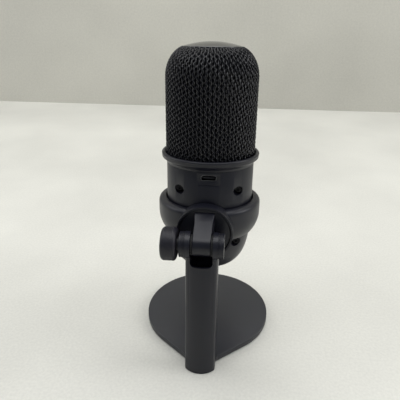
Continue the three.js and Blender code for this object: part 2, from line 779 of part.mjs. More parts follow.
function makeTouchCap() {
  const skirt = 12.4;
  const underside = CAP_EDGE - 1.2;
  const rounding = 0.5;
  const flat = CAP_RADIUS - rounding;
  const dome = [0.8, 0.6, 0.4, 0.2, 0].map((share) =>
    point(flat * share, THREE.MathUtils.lerp(CAP_TOP, CAP_EDGE, share ** 2)),
  );
  const profile = [
    point(0, underside),
    point(skirt - 1.2, underside),
    point(skirt - 1.2, 97.2),
    point(skirt, 97.2),
    point(skirt, underside),
    point(CAP_RADIUS, underside),
    ...arc(flat, CAP_EDGE - rounding, rounding, rounding, 0, 90, 3),
    ...dome,
  ];
  add(head, "touch_cap", turned(profile), glossPlastic);
  add(head, "touch_board", tube(1.5, 10.6, 98.2, 99.4, MEDIUM), boardGreen);
}

function makePickup() {
  const ringRadius = CAPSULE_RADIUS + 2.4;
  const aside = POST_INNER - GAP;
  const bar = box([-aside, aside], [-3, 3], [CAPSULE_HEIGHT - 3, CAPSULE_HEIGHT + 3]);
  const ring = cylinder("y", ringRadius, -4, 4, MEDIUM).translate(0, 0, CAPSULE_HEIGHT);
  const hole = cylinder("y", CAPSULE_RADIUS + 0.15, -10, 10, MEDIUM);
  hole.translate(0, 0, CAPSULE_HEIGHT);
  add(head, "capsule_mount", cut(join(bar, ring), hole), softRubber);

  const front = -4.4;
  const openings = [0, 60, 120, 180, 240, 300].map((angle) =>
    cylinder("y", 0.8, front - 1, front + 0.8, 8)
      .translate(3.4, 0, 0)
      .rotateY(THREE.MathUtils.degToRad(angle))
      .translate(0, 0, CAPSULE_HEIGHT),
  );
  const can = cylinder("y", CAPSULE_RADIUS, front, 3, MEDIUM).translate(0, 0, CAPSULE_HEIGHT);
  add(head, "mic_capsule", cut(can, ...openings), capsuleMetal);

  const capsuleRoute = [
    [0, 3.4, CAPSULE_HEIGHT],
    [0, 7, CAPSULE_HEIGHT - 3],
    [0, 8, 55],
    [1, 9, 42],
    [2, 10.6, 33.4],
  ];
  add(head, "capsule_lead", lead(capsuleRoute, 0.6), whitePlastic);
  const touchRoute = [
    [0, 1.9, 97.8],
    [0.6, 2.4, 91],
    [1, 3.4, 87],
    [4, 9.5, 79],
    [-3, 11, 60],
    [-3, 10.6, 42],
    [-3, 10.6, 33.4],
  ];
  add(head, "touch_lead", lead(touchRoute, 0.6), whitePlastic);
}

// ---------------------------------------------------------------- assembly

makeBase();
makeColumn();
makeClamp();
makeRing();
makeArm();
makeShells();
makeElectronics();
makeCollar();
makeGrille();
makeBasketFrame();
makeTouchCap();
makePickup();

export default microphone;
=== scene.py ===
"""The looks of a desktop microphone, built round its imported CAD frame.

Blender works in metres; the dimensions below are millimetres, as in the CAD part, and meshes
are scaled when they are made. +Z is up, and the column, hinge and socket are at the rear, +Y.
"""

import json
import math

import bmesh
import bpy
import numpy as np
from mathutils import Matrix, Vector


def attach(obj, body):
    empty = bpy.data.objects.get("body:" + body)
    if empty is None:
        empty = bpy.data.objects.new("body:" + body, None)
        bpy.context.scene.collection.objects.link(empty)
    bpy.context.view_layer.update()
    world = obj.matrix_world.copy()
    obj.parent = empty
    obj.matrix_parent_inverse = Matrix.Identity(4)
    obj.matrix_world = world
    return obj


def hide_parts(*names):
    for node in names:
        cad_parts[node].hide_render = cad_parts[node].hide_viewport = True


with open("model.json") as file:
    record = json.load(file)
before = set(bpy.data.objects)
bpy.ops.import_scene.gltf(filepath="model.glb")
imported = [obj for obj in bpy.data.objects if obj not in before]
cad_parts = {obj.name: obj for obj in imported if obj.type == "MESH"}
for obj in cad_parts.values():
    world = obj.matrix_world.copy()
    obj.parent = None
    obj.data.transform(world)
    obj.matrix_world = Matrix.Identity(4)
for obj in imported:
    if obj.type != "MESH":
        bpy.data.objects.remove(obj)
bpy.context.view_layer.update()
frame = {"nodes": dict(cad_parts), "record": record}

MM = 0.001

# ---------------------------------------------------------------- dimensions

# Column and hinge. The column leans forward by COLUMN_LEAN for each unit of height. Its flanks
# turn into its round back over CORNER_LENGTH, and its slot and foot pocket are open at the front.
COLUMN_HALF = 9.0
COLUMN_FRONT = 44.5
COLUMN_REAR = 56.7
COLUMN_REAR_RADIUS = 12.0
COLUMN_LEAN = 0.09
COLUMN_FOOT = 0.3
REAR_ARC_SHARE = 0.85
REAR_ARC_STEPS = 24
CORNER_LENGTH = 3.0
CORNER_PULL = 1.0
CORNER_STEPS = 6
FOOT_POCKET_HALF = 6.9
FOOT_POCKET_FRONT = 39.5
FOOT_POCKET_REAR = 53.9
FOOT_POCKET_TOP = 3.5
HINGE_Y = 44.0
HINGE_Z = 80.8
EAR_RADIUS = 7.3
EAR_BOSS_RADIUS = 7.0
EAR_BOSS_START = 3.0
EAR_BOSS_END = 12.0
EAR_BOSS_RIM = 0.7
SLOT_HALF = 6.2
SLOT_FLOOR = 70.0
SLOT_TOP = 90.8
SLOT_FRONT = 29.5
SLOT_CORNER = 2.0
SLOT_POCKET_STEP = 0.3
SLOT_POCKET_FRONT = 43.5
SLOT_POCKET_WALL = 1.3
SLOT_POCKET_FLOOR = 63.5
SLOT_POCKET_OVERLAP = 3.0
BOLT_BORE = 2.1
NUT_RADIUS = 4.25
NUT_SEAT = 7.3
NUT_SIDES = 6
NUT_CAP_RADIUS = 5.3
NUT_CAP_SEAT = 10.7
COLUMN_EDGE = 0.3

# Clamp knob, and the fine rings turned into it and into the ears' bosses
KNOB_START = 13.5
KNOB_END = 22.0
KNOB_RADIUS = 9.2
KNOB_EDGE = 2.0
KNOB_NECK = 4.0
KNOB_DISH_RIM = 1.0
KNOB_DISH_DEPTH = 0.35
KNOB_SHARP = 50
RIDGE_PITCH = 0.7
RIDGE_DEPTH = 0.16
POINTS_PER_RIDGE = 6

# The head leans forward at rest and is turned a little in its ring
HEAD_LEAN = math.radians(3.93)
HEAD_TWIST = math.radians(2.7)
ARM_REACH = 46.41
ARM_DROP = 0.62

# Ring and arm; heights are along the head's own axis. The arm is wide at its root, and narrows
# from ARM_TAPER_START until it is ARM_TAPER_END short of its barrel.
RING_INNER = 27.2
RING_OUTER = 31.5
RING_WIDEST = 5.5
RING_TOP = 13.2
RING_BOTTOM = -6.4
RING_TOP_DROP = 2.6
RING_TOP_POWER = 8
RING_FOOT_DROP = 3.6
RING_FOOT_POWER = 2.4
RING_STEPS = 40
RING_EDGE = 0.3
RING_BORE_TOP = 40.0
BOSS_RADIUS = 16.1
BOSS_HEIGHT = 1.4
BOSS_ROOT = 20.0
BOSS_FACE = 33.8
BOSS_FLOOR = 31.2
BOSS_BORE = 15.0
ARM_SCREW_HEIGHTS = (-2.0, 7.5)
ARM_SCREW_HOLE = 1.6
ARM_HALF = 5.0
ARM_ROOT_HALF = 5.65
ARM_ROOT_LENGTH = 1.5
ARM_ROOT_TOP = 14.0
ARM_ROOT_BOTTOM = -7.0
ARM_PLAN_START = 25.0
ARM_PLAN_END = 60.0
ARM_TAPER_START = 34.0
ARM_TAPER_END = 7.0
ARM_DISC = 1.4
ARM_DISC_EDGE = 0.25
ARM_EDGE = 0.4
BARREL_RADIUS = 5.8
BARREL_STEPS = 36
BARREL_BORE_HALF = 10.0

# Shells; GAP is the clearance between pieces that meet
GAP = 0.3
BODY_RADIUS = 26.3
SHELL_WALL = 2.0
SHELL_TOP = 35.12
SHELL_EDGE = 0.2
SPLIT_WIDTH = 40.0
SPLIT_HEIGHT = 60.0
DOME_START = 12.2
DOME_DEPTH = 44.6
DOME_POWER = 3.45
DOME_STEPS = 40
SHELL_SCREW_ANGLE = math.radians(40)
SHELL_SCREW_HEIGHTS = (22.9, -10.2)
SHELL_SCREW_SEAT = 15.3
SHELL_SCREW_HOLE = 1.5
COUNTERBORE_RADIUS = 2.75
POST_RADIUS = 4.2
POST_DEPTH = 2.0
POST_INSET = 0.05
LIGHT_DROP = 4.0
LIGHT_RADIUS = 1.6
INSIDE_WALL = 10.0

# Socket, and the shallow dish round its opening
SOCKET_HEIGHT = 31.7
SOCKET_WIDTH = 8.94
SOCKET_THICKNESS = 3.2
SOCKET_CORNER = 1.55
SOCKET_RIM = 0.2
SOCKET_MARGIN = 0.2
SOCKET_FACE = 25.2
SOCKET_STANDOFF = 0.1
SOCKET_EDGE = 0.07
BOARD_REAR = 14.6
DISH_WIDTH = 16.0
DISH_HEIGHT = 6.2
DISH_CORNER = 3.0
DISH_DROP = 1.3
DISH_DEPTH = 0.8

# Collar, grille and touch cap
COLLAR_BOTTOM = 35.2
COLLAR_TOP = 41.6
COLLAR_RADIUS = 29.3
COLLAR_RIM = 27.4
COLLAR_LIP = 0.9
COLLAR_LIP_DEPTH = 2.9
COLLAR_LIP_TAPER = 0.2
COLLAR_EDGE = 0.15
COVE_RADIUS = 2.1
COVE_OUT = 2.2
COVE_UP = 0.2
COVE_ANGLES = (170, 120)
LIP_ANGLES = (-20, 90)
LIP_STEPS = 12
SPIGOT_INSET = 1.7
SPIGOT_DEPTH = 1.5
LEDGE_TOP = 38.0
GRILLE_RADIUS = 26.8
GRILLE_WALL = 0.8
SHOULDER_START = 84.0
SHOULDER_CENTRE = 13.0
GRILLE_CROWN = 101.6
SHOULDER_STEPS = 24
CAP_RADIUS = 16.3
CAP_EDGE = 100.9
CAP_TOP = 103.2
CAP_THICKNESS = 1.2
CAP_ROUNDING = 0.5
CAP_ROUNDING_STEPS = 8
CAP_STEPS = 16
CAP_SKIRT_RADIUS = 12.4
CAP_SKIRT_WALL = 1.2
CAP_SKIRT_FOOT = 97.2
FOAM_THICKNESS = 2.8
FOAM_FOOT = 2.6

# The dome's facets are not the CAD's, so its middle is kept this far inside the CAD's top
CAP_MARGIN = 0.02

# Woven wire of the grille, in pairs that go up it. The two wires stand STRAND_HALF to each side
# of their pair's middle, the pair sways STRAND_SWAY to either side, and each wire swings
# WIRE_SWING in and out of the surface. WEAVE_HEIGHT is the distance from one hole to the next.
WIRE_RADIUS = 0.4
WIRE_SWING = 0.42
WEAVE_STRANDS = 72
WEAVE_HEIGHT = 2.7
WEAVE_SIDES = 6
WEAVE_CURVE_STEPS = 200
STRAND_HALF = 0.42
STRAND_SWAY = 0.32
POINTS_PER_HOLE = 9
WIRE_SHARP = 80

# Rounded edges of the CAD nodes that stay
EDGE_WIDTHS = {"base_plate": 0.7, "foot_pad": 0.3, "nut_cap": 0.3}
SMALL_EDGE = 0.12

# Camera: its place, the way it looks, the level way to its right, its roll in radians, its lens
CAMERA_PLACE = (-18.9, 242.7, 200.7)
CAMERA_FORWARD = (0.0914, -0.9018, -0.4223)
CAMERA_LEVEL = (-0.9949, -0.1008, 0)
CAMERA_ROLL = 0.006
CAMERA_LENS = 38.7
CAMERA_SENSOR = 36

# Table top and the plain wall behind it
STAGE_HALF = 3000.0
STAGE_THICKNESS = 20.0
TABLE_DROP = 0.02
WALL_DISTANCE = 640.0
WALL_TOP = 2000.0

# Lamps: name, place and width in metres, and power in watts; all aim at the microphone's middle
LAMPS = (
    ("overhead", (0.0, -0.15, 1.2), 1.4, 15.4),
    ("left_fill", (1.0, -0.1, 0.6), 0.7, 2.9),
    ("right_fill", (-1.0, 0.0, 0.6), 0.5, 3.9),
)
LAMP_TARGET = (0, 0, 0.09)
SKY_COLOUR = (0.74, 0.80, 0.89, 1)
SKY_STRENGTH = 0.26

# Fineness of round shapes, and the angle in degrees beyond which an edge counts as sharp
ROUND = 144
SMALL_ROUND = 48
FILLET_STEPS = 10
SHARP = 35

# A cutting shape runs CLEAR past a face near it, and FAR where nothing else is in its way
CLEAR = 1.0
FAR = 30.0

# A radius below ON_AXIS is on the axis. The other two are in metres: points nearer than this
# count as one, in the shapes made here and in the CAD's.
ON_AXIS = 1e-6
SAME_PLACE = 1e-7
CAD_SAME_PLACE = 1e-6

# How far a surface's roughness strays from its middle value, as a share of it, and how much the
# fine grain counts beside the broad variation in its colour
DULL_SPREAD = 0.12
GRAIN_SHARE = 0.5

# ---------------------------------------------------------------- placing

hinge = Vector((0, HINGE_Y, HINGE_Z)) * MM
lean = Matrix.Rotation(HEAD_LEAN, 4, "X")
arm_end = Vector((0, ARM_REACH, ARM_DROP)) * MM
YOKE = Matrix.Translation(hinge - lean @ arm_end) @ lean
HEAD = YOKE @ Matrix.Rotation(HEAD_TWIST, 4, "Z")
STAND = Matrix.Identity(4)
AT_HINGE = Matrix.Translation(hinge)

# Turns a shape made about Z so that its axis points along +X, -X or +Y
ALONG_X = Matrix.Rotation(math.pi / 2, 4, "Y")
AGAINST_X = Matrix.Rotation(-math.pi / 2, 4, "Y")
ALONG_Y = Matrix.Rotation(-math.pi / 2, 4, "X")

# Stands a shape drawn in (x, y) up in x and z, so that its depth runs along -Y
STANDING = Matrix.Rotation(math.pi / 2, 4, "X")

# Turns a shape drawn in (y, z) into that plane, so that its depth runs along X
SIDEWAYS = Matrix(((0, 0, 1, 0), (1, 0, 0, 0), (0, 1, 0, 0), (0, 0, 0, 1)))


def shift(x, y, z):
    return Matrix.Translation(Vector((x, y, z)) * MM)


# ---------------------------------------------------------------- meshes


def make(name, points, faces, place=STAND):
    """A mesh object from points in millimetres, placed by a matrix that is put into its mesh."""
    mesh = bpy.data.meshes.new(name)
    mesh.from_pydata((np.asarray(points, float) * MM).tolist(), [], faces)
    mesh.transform(place)
    mesh.update()
    made = bpy.data.objects.new(name, mesh)
    bpy.context.scene.collection.objects.link(made)
    return made


def lathe(name, profile, place=STAND, segments=ROUND):
    """A closed (radius, height) profile turned about Z. Points at radius 0 become one point."""
    points = []
    rows = []
    for radius, height in profile:
        if radius < ON_AXIS:
            rows.append([len(points)] * segments)
            points.append((0, 0, height))
            continue
        rows.append(list(range(len(points), len(points) + segments)))
        for step in range(segments):
            angle = 2 * math.pi * step / segments
            points.append((radius * math.cos(angle), radius * math.sin(angle), height))
    faces = []
    for row, following in zip(rows, rows[1:] + rows[:1]):
        if row[0] == row[1] and following[0] == following[1]:
            continue
        for step in range(segments):
            after = (step + 1) % segments
            corners = (row[step], row[after], following[after], following[step])
            faces.append(tuple(dict.fromkeys(corners)))
    return make(name, points, faces, place)


def rod(radius, low, high, place=STAND, segments=SMALL_ROUND):
    """A cylinder about Z, for joining to or cutting from another shape."""
    profile = [(0, low), (radius, low), (radius, high), (0, high)]
    return lathe("rod", profile, place, segments)


def slab(outline, low, high, place=STAND):
    """A closed (x, y) outline given depth along Z."""
    count = len(outline)
    points = [(x, y, z) for z in (low, high) for x, y in outline]
    faces = [tuple(reversed(range(count))), tuple(range(count, 2 * count))]
    for step in range(count):
        after = (step + 1) % count
        faces.append((step, after, count + after, count + step))
    return make("slab", points, faces, place)


def block(x, y, z, place=STAND):
    outline = [(x[0], y[0]), (x[1], y[0]), (x[1], y[1]), (x[0], y[1])]
    return slab(outline, z[0], z[1], place)


def arc(centre, radii, start, end, steps):
    """Points of an elliptical arc, with angles in degrees."""
    angles = np.radians(np.linspace(start, end, steps + 1))
    return [
        (centre[0] + radii[0] * math.cos(a), centre[1] + radii[1] * math.sin(a)) for a in angles
    ]


def rounded_rectangle(width, height, radius, centre=(0, 0), steps=8):
    """A rectangle with round corners, anticlockwise."""
    outline = []
    corners = ((1, -1, -90), (1, 1, 0), (-1, 1, 90), (-1, -1, 180))
    for side_x, side_y, start in corners:
        middle = (
            centre[0] + side_x * (width / 2 - radius),
            centre[1] + side_y * (height / 2 - radius),
        )
        outline += arc(middle, (radius, radius), start, start + 90, steps)
    return outline


def outwards(shape):
    """Makes every face of a closed mesh point outwards, and joins points that coincide."""
    work = bmesh.new()
    work.from_mesh(shape.data)
    bmesh.ops.remove_doubles(work, verts=work.verts, dist=SAME_PLACE)
    bmesh.ops.recalc_face_normals(work, faces=work.faces)
    work.to_mesh(shape.data)
    work.free()
    return shape


def applied(shape):
    """Puts a shape's modifiers into its mesh."""
    graph = bpy.context.evaluated_depsgraph_get()
    finished = bpy.data.meshes.new_from_object(shape.evaluated_get(graph))
    shape.modifiers.clear()
    shape.data = finished
    return shape


def combine(shape, operation, others):
    """Joins, cuts or intersects a shape with others, which are used up."""
    outwards(shape)
    for other in others:
        outwards(other)
        step = shape.modifiers.new("combine", "BOOLEAN")
        step.operation = operation
        step.solver = "MANIFOLD"
        step.object = other
        bpy.context.view_layer.update()
        applied(shape)
        bpy.data.objects.remove(other)
    return shape


def join(shape, *others):
    return combine(shape, "UNION", others)


def cut(shape, *others):
    return combine(shape, "DIFFERENCE", others)


def common(shape, *others):
    return combine(shape, "INTERSECT", others)


def soften(shape, width, segments=3):
    """Rounds the sharp edges of a shape and shades the rest smooth."""
    outwards(shape)
    step = shape.modifiers.new("edges", "BEVEL")
    step.width = width * MM
    step.segments = segments
    step.limit_method = "ANGLE"
    step.angle_limit = math.radians(SHARP)
    step.use_clamp_overlap = True
    bpy.context.view_layer.update()
    return smooth(applied(shape))


def smooth(shape, angle=SHARP):
    shape.data.polygons.foreach_set("use_smooth", [True] * len(shape.data.polygons))
    shape.data.set_sharp_from_angle(angle=math.radians(angle))
    return shape


# ---------------------------------------------------------------- materials


def linear(*srgb):
    """A colour given as 0-255 sRGB, for a shader."""
    channels = [c / 255 for c in srgb]
    return [c / 12.92 if c <= 0.04045 else ((c + 0.055) / 1.055) ** 2.4 for c in channels]


def tinted(colour, amount):
    return [*(min(1.0, c * amount) for c in colour), 1.0]


def surface(
    name,
    colour,
    roughness,
    metallic=0.0,
    grain=2600.0,
    depth=0.02,
    variation=0.12,
    patch=90.0,
    stretch=(1, 1, 1),
    coat=0.0,
    cells=False,
    specular=0.5,
    ior=1.5,
):
    """A moulded, painted or machined surface.

    grain is the fine texture's scale per metre and depth its height in millimetres; patch is the
    scale of the broad variation in colour and roughness, and variation how far the colour
    strays; stretch draws the grain out along axes, and cells makes it of cells, as in foam.
    """
    made = bpy.data.materials.new(name)
    made.use_nodes = True
    nodes = made.node_tree.nodes
    link = made.node_tree.links.new
    shader = nodes["Principled BSDF"]
    shader.inputs["Metallic"].default_value = metallic
    shader.inputs["Specular IOR Level"].default_value = specular
    shader.inputs["IOR"].default_value = ior
    shader.inputs["Coat Weight"].default_value = coat
    shader.inputs["Coat Roughness"].default_value = 0.04

    place = nodes.new("ShaderNodeTexCoord")
    drawn = nodes.new("ShaderNodeMapping")
    drawn.inputs["Scale"].default_value = stretch
    link(place.outputs["Object"], drawn.inputs["Vector"])

    broad = nodes.new("ShaderNodeTexNoise")
    broad.inputs["Scale"].default_value = patch
    broad.inputs["Detail"].default_value = 5.0
    link(place.outputs["Object"], broad.inputs["Vector"])

    fine = nodes.new("ShaderNodeTexVoronoi" if cells else "ShaderNodeTexNoise")
    fine.inputs["Scale"].default_value = grain
    fine.inputs["Detail"].default_value = 2.0
    link(drawn.outputs["Vector"], fine.inputs["Vector"])
    height = fine.outputs["Distance"] if cells else fine.outputs[0]

    both = nodes.new("ShaderNodeMath")
    both.operation = "MULTIPLY_ADD"
    both.inputs[1].default_value = GRAIN_SHARE
    link(height, both.inputs[0])
    link(broad.outputs[0], both.inputs[2])

    shades = nodes.new("ShaderNodeValToRGB")
    shades.color_ramp.elements[0].position = 0.45
    shades.color_ramp.elements[0].color = tinted(colour, 1 - variation)
    shades.color_ramp.elements[1].position = 1.0
    shades.color_ramp.elements[1].color = tinted(colour, 1 + variation)
    link(both.outputs[0], shades.inputs["Fac"])
    link(shades.outputs["Color"], shader.inputs["Base Color"])

    dull = nodes.new("ShaderNodeMapRange")
    dull.inputs["From Min"].default_value = 0.3
    dull.inputs["From Max"].default_value = 0.7
    dull.inputs["To Min"].default_value = roughness * (1 - DULL_SPREAD)
    dull.inputs["To Max"].default_value = min(1.0, roughness * (1 + DULL_SPREAD))
    link(broad.outputs[0], dull.inputs["Value"])
    link(dull.outputs["Result"], shader.inputs["Roughness"])

    relief = nodes.new("ShaderNodeBump")
    relief.inputs["Strength"].default_value = 0.6
    relief.inputs["Distance"].default_value = depth * MM
    link(height, relief.inputs["Height"])
    link(relief.outputs["Normal"], shader.inputs["Normal"])
    return made


LOOKS = {
    "charcoal_plastic": dict(colour=linear(18, 19, 29), roughness=0.39, depth=0.03, specular=0.42),
    "knob_plastic": dict(colour=linear(28, 27, 35), roughness=0.44, depth=0.03, specular=0.4),
    "cap_plastic": dict(
        colour=linear(12, 12, 14), roughness=0.12, grain=300, depth=0.001, ior=1.9
    ),
    "base_steel": dict(colour=linear(36, 37, 43), roughness=0.44, grain=3400, depth=0.025),
    "grille_wire": dict(colour=linear(8, 8, 16), roughness=0.24, grain=1500, specular=0.55),
    "soft_rubber": dict(colour=linear(24, 24, 25), roughness=0.85, grain=1800, depth=0.03),
    "black_foam": dict(
        colour=linear(7, 7, 10), roughness=1.0, specular=0.1, grain=1600, depth=0.25, cells=True
    ),
    # The zinc's colour is held well below bare zinc as painted shade: it darkens the socket can,
    # which sits in the shadow of its recess. The bolts and nuts share this colour.
    "zinc_steel": dict(
        colour=linear(120, 122, 126), roughness=0.36, metallic=1.0, stretch=(1, 1, 0.1)
    ),
    "black_steel": dict(colour=linear(30, 30, 32), roughness=0.38, metallic=0.8, depth=0.01),
    "capsule_metal": dict(
        colour=linear(196, 198, 200), roughness=0.3, metallic=1.0, stretch=(0.1, 1, 1)
    ),
    "board_laminate": dict(colour=linear(23, 64, 42), roughness=0.45, grain=900, cells=True),
    "lens_plastic": dict(
        colour=linear(217, 221, 224), roughness=0.15, grain=400, depth=0.004, coat=0.5
    ),
    "wire_sleeve": dict(colour=linear(222, 222, 222), roughness=0.4, grain=1200, depth=0.01),
}

BY_SLOT = {slot: surface(slot, **look) for slot, look in LOOKS.items()}


def piece(shape, name, body, slot, *nodes):
    """Names a finished shape, gives it its slot's material, and puts it in place of CAD nodes."""
    shape.name = name
    shape.data.name = name
    shape.data.materials.clear()
    shape.data.materials.append(BY_SLOT[slot])
    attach(shape, body)
    if nodes:
        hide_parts(*nodes)
    return shape


# ---------------------------------------------------------------- column and clamp


def column_section(inset=0.0):
    """D-shaped section of the column, with a flat front and a rounded back."""
    half = COLUMN_HALF - inset
    radius = COLUMN_REAR_RADIUS - inset
    front_y = COLUMN_FRONT + inset
    centre = COLUMN_REAR - COLUMN_REAR_RADIUS
    side = half * REAR_ARC_SHARE
    swing = math.degrees(math.asin(side / radius))
    back = centre + math.sqrt(radius**2 - side**2)
    start = (half, back - CORNER_LENGTH)
    corner = (half, back - CORNER_PULL)
    finish = (side, back)
    shares = np.linspace(0, 1, CORNER_STEPS + 1)[:-1]
    turn = [
        tuple(
            (1 - t) ** 2 * start[i] + 2 * t * (1 - t) * corner[i] + t**2 * finish[i]
            for i in (0, 1)
        )
        for t in shares
    ]
    rear = arc((0, centre), (radius, radius), 90 - swing, 90 + swing, REAR_ARC_STEPS)
    mirrored = [(-x, y) for x, y in reversed(turn)]
    front = [(-half, front_y), (half, front_y)]
    return front + turn + rear + mirrored


def ridged(start, end, radius):
    """Profile of a turned surface with fine rings, between two places on its axis."""
    count = max(1, round((end - start) / RIDGE_PITCH))
    profile = []
    for place in np.linspace(start, end, count * POINTS_PER_RIDGE + 1):
        share = (place - start) / (end - start) * count
        dip = RIDGE_DEPTH * (0.5 - 0.5 * math.cos(2 * math.pi * share))
        profile.append((radius - dip, place))
    return profile


def make_column():
    leaning = Matrix.Identity(4)
    leaning[1][2] = -COLUMN_LEAN
    along_hinge = AT_HINGE @ ALONG_X
    column = slab(column_section(), COLUMN_FOOT, HINGE_Z, leaning)
    boss = [
        (0, EAR_BOSS_START),
        *ridged(EAR_BOSS_START, EAR_BOSS_END - EAR_BOSS_RIM, EAR_BOSS_RADIUS),
        (EAR_BOSS_RADIUS, EAR_BOSS_END),
        (0, EAR_BOSS_END),
    ]
    for turn in (ALONG_X, AGAINST_X):
        join(column, lathe("boss", boss, AT_HINGE @ turn))
    join(column, rod(EAR_RADIUS, -COLUMN_HALF, COLUMN_HALF, along_hinge, ROUND))

    slot_height = SLOT_TOP - SLOT_FLOOR
    slot_middle = (0, SLOT_FLOOR + slot_height / 2)
    slot_outline = rounded_rectangle(2 * SLOT_HALF, slot_height, SLOT_CORNER, slot_middle)
    slot = slab(slot_outline, -COLUMN_REAR, -SLOT_FRONT, STANDING)
    well_half = SLOT_HALF - SLOT_POCKET_STEP
    well_top = SLOT_FLOOR + SLOT_POCKET_OVERLAP
    well = common(
        slab(column_section(SLOT_POCKET_WALL), SLOT_POCKET_FLOOR, well_top, leaning),
        block((-well_half, well_half), (SLOT_POCKET_FRONT, COLUMN_REAR), (0, HINGE_Z)),
    )
    outside = EAR_BOSS_END + CLEAR
    bore = rod(BOLT_BORE, -outside, outside, along_hinge)
    nut = rod(NUT_RADIUS, -outside, -NUT_SEAT, along_hinge, NUT_SIDES)
    recess = rod(NUT_CAP_RADIUS, -outside, -NUT_CAP_SEAT, along_hinge)
    pocket_x = (-FOOT_POCKET_HALF, FOOT_POCKET_HALF)
    pocket = block(pocket_x, (FOOT_POCKET_FRONT, FOOT_POCKET_REAR), (0, FOOT_POCKET_TOP))
    cut(column, slot, well, bore, nut, recess, pocket)
    soften(column, COLUMN_EDGE)
    piece(column, "column_body", "stand", "charcoal_plastic", "stand_column")


def make_knob():
    inner = KNOB_RADIUS - KNOB_EDGE
    near = KNOB_START + KNOB_EDGE
    far = KNOB_END - KNOB_EDGE
    profile = [
        (0, EAR_BOSS_END + GAP),
        (KNOB_NECK, EAR_BOSS_END + GAP),
        (KNOB_NECK, KNOB_START),
        *arc((inner, near), (KNOB_EDGE, KNOB_EDGE), -90, 0, FILLET_STEPS),
        *ridged(near, far, KNOB_RADIUS),
        *arc((inner, far), (KNOB_EDGE, KNOB_EDGE), 0, 90, FILLET_STEPS),
        (inner - KNOB_DISH_RIM, KNOB_END - KNOB_DISH_DEPTH),
        (0, KNOB_END - KNOB_DISH_DEPTH),
    ]
    knob = outwards(lathe("knob", profile, AT_HINGE @ ALONG_X))
    piece(smooth(knob, KNOB_SHARP), "knob_grip", "clamp", "knob_plastic", "clamp_knob")


# ---------------------------------------------------------------- ring and arm


def ring_radius(height):
    """Outer radius of the ring at a height: it bulges, and falls away faster at the top."""
    rising = height > RING_WIDEST
    reach = RING_TOP - RING_WIDEST if rising else RING_WIDEST - RING_BOTTOM
    power = RING_TOP_POWER if rising else RING_FOOT_POWER
    drop = RING_TOP_DROP if rising else RING_FOOT_DROP
    return RING_OUTER - drop * (abs(height - RING_WIDEST) / reach) ** power


def make_ring():
    heights = np.linspace(RING_BOTTOM, RING_TOP, RING_STEPS + 1)
    outline = [(RING_INNER, RING_BOTTOM), *((ring_radius(h), h) for h in heights)]
    ring = lathe("ring", [*outline, (RING_INNER, RING_TOP)], YOKE)
    at_boss = YOKE @ shift(0, 0, BOSS_HEIGHT) @ ALONG_Y
    boss = rod(BOSS_RADIUS, BOSS_ROOT, BOSS_FACE, at_boss, ROUND)
    join(ring, cut(boss, rod(RING_INNER, -FAR, RING_BORE_TOP, YOKE, ROUND)))
    holes = [
        rod(ARM_SCREW_HOLE, BOSS_ROOT, BOSS_FACE, YOKE @ shift(0, 0, height) @ ALONG_Y)
        for height in ARM_SCREW_HEIGHTS
    ]
    cut(ring, rod(BOSS_BORE, BOSS_FLOOR, BOSS_FACE + CLEAR, at_boss, ROUND), *holes)
    piece(soften(ring, RING_EDGE), "ring_body", "yoke", "charcoal_plastic", "yoke_ring")


def touch(start, centre, radius, side):
    """Angle at which the tangent from a place touches a circle."""
    away = Vector(start) - Vector(centre)
    return math.atan2(away.y, away.x) + side * math.acos(radius / away.length)


def make_arm():
    root = BOSS_FLOOR + GAP
    barrel = (ARM_REACH, ARM_DROP)
    top = (root + ARM_ROOT_LENGTH, ARM_ROOT_TOP)
    bottom = (root + ARM_ROOT_LENGTH, ARM_ROOT_BOTTOM)
    upper = math.degrees(touch(top, barrel, BARREL_RADIUS, -1))
    lower = math.degrees(touch(bottom, barrel, BARREL_RADIUS, 1))
    if lower > upper:
        lower -= 360
    round_end = arc(barrel, (BARREL_RADIUS, BARREL_RADIUS), lower, upper, BARREL_STEPS)
    outline = [(root, ARM_ROOT_BOTTOM), bottom, *round_end, top, (root, ARM_ROOT_TOP)]
    half_width = ARM_ROOT_HALF + CLEAR
    arm = slab(outline, -half_width, half_width, YOKE @ SIDEWAYS)
    half_plan = [
        (ARM_ROOT_HALF, ARM_PLAN_START),
        (ARM_ROOT_HALF, ARM_TAPER_START),
        (ARM_HALF, ARM_REACH - ARM_TAPER_END),
        (ARM_HALF, ARM_PLAN_END),
    ]
    plan = half_plan + [(-x, y) for x, y in reversed(half_plan)]
    soften(common(arm, slab(plan, -FAR, FAR, YOKE)), ARM_EDGE)
    at_boss = YOKE @ shift(0, 0, BOSS_HEIGHT) @ ALONG_Y
    disc = rod(BOSS_BORE - GAP, root, root + ARM_DISC, at_boss, ROUND)
    join(arm, soften(disc, ARM_DISC_EDGE))
    at_barrel = YOKE @ shift(0, ARM_REACH, ARM_DROP) @ ALONG_X
    cut(arm, rod(BOLT_BORE, -BARREL_BORE_HALF, BARREL_BORE_HALF, at_barrel))
    piece(smooth(arm), "arm_body", "yoke", "charcoal_plastic", "hinge_arm")


# ---------------------------------------------------------------- shells and socket


def dome_profile(inset, top):
    """The head's lower outline, from the bottom of the dome up to the shell's top."""
    radius = BODY_RADIUS - inset
    depth = DOME_DEPTH - inset
    profile = []
    for step in range(DOME_STEPS + 1):
        swing = step / DOME_STEPS * math.pi / 2
        out = 0 if step == 0 else radius * math.sin(swing) ** (2 / DOME_POWER)
        down = 0 if step == DOME_STEPS else depth * math.cos(swing) ** (2 / DOME_POWER)
        profile.append((out, DOME_START - down))
    return [*profile, (radius, top), (0, top)]


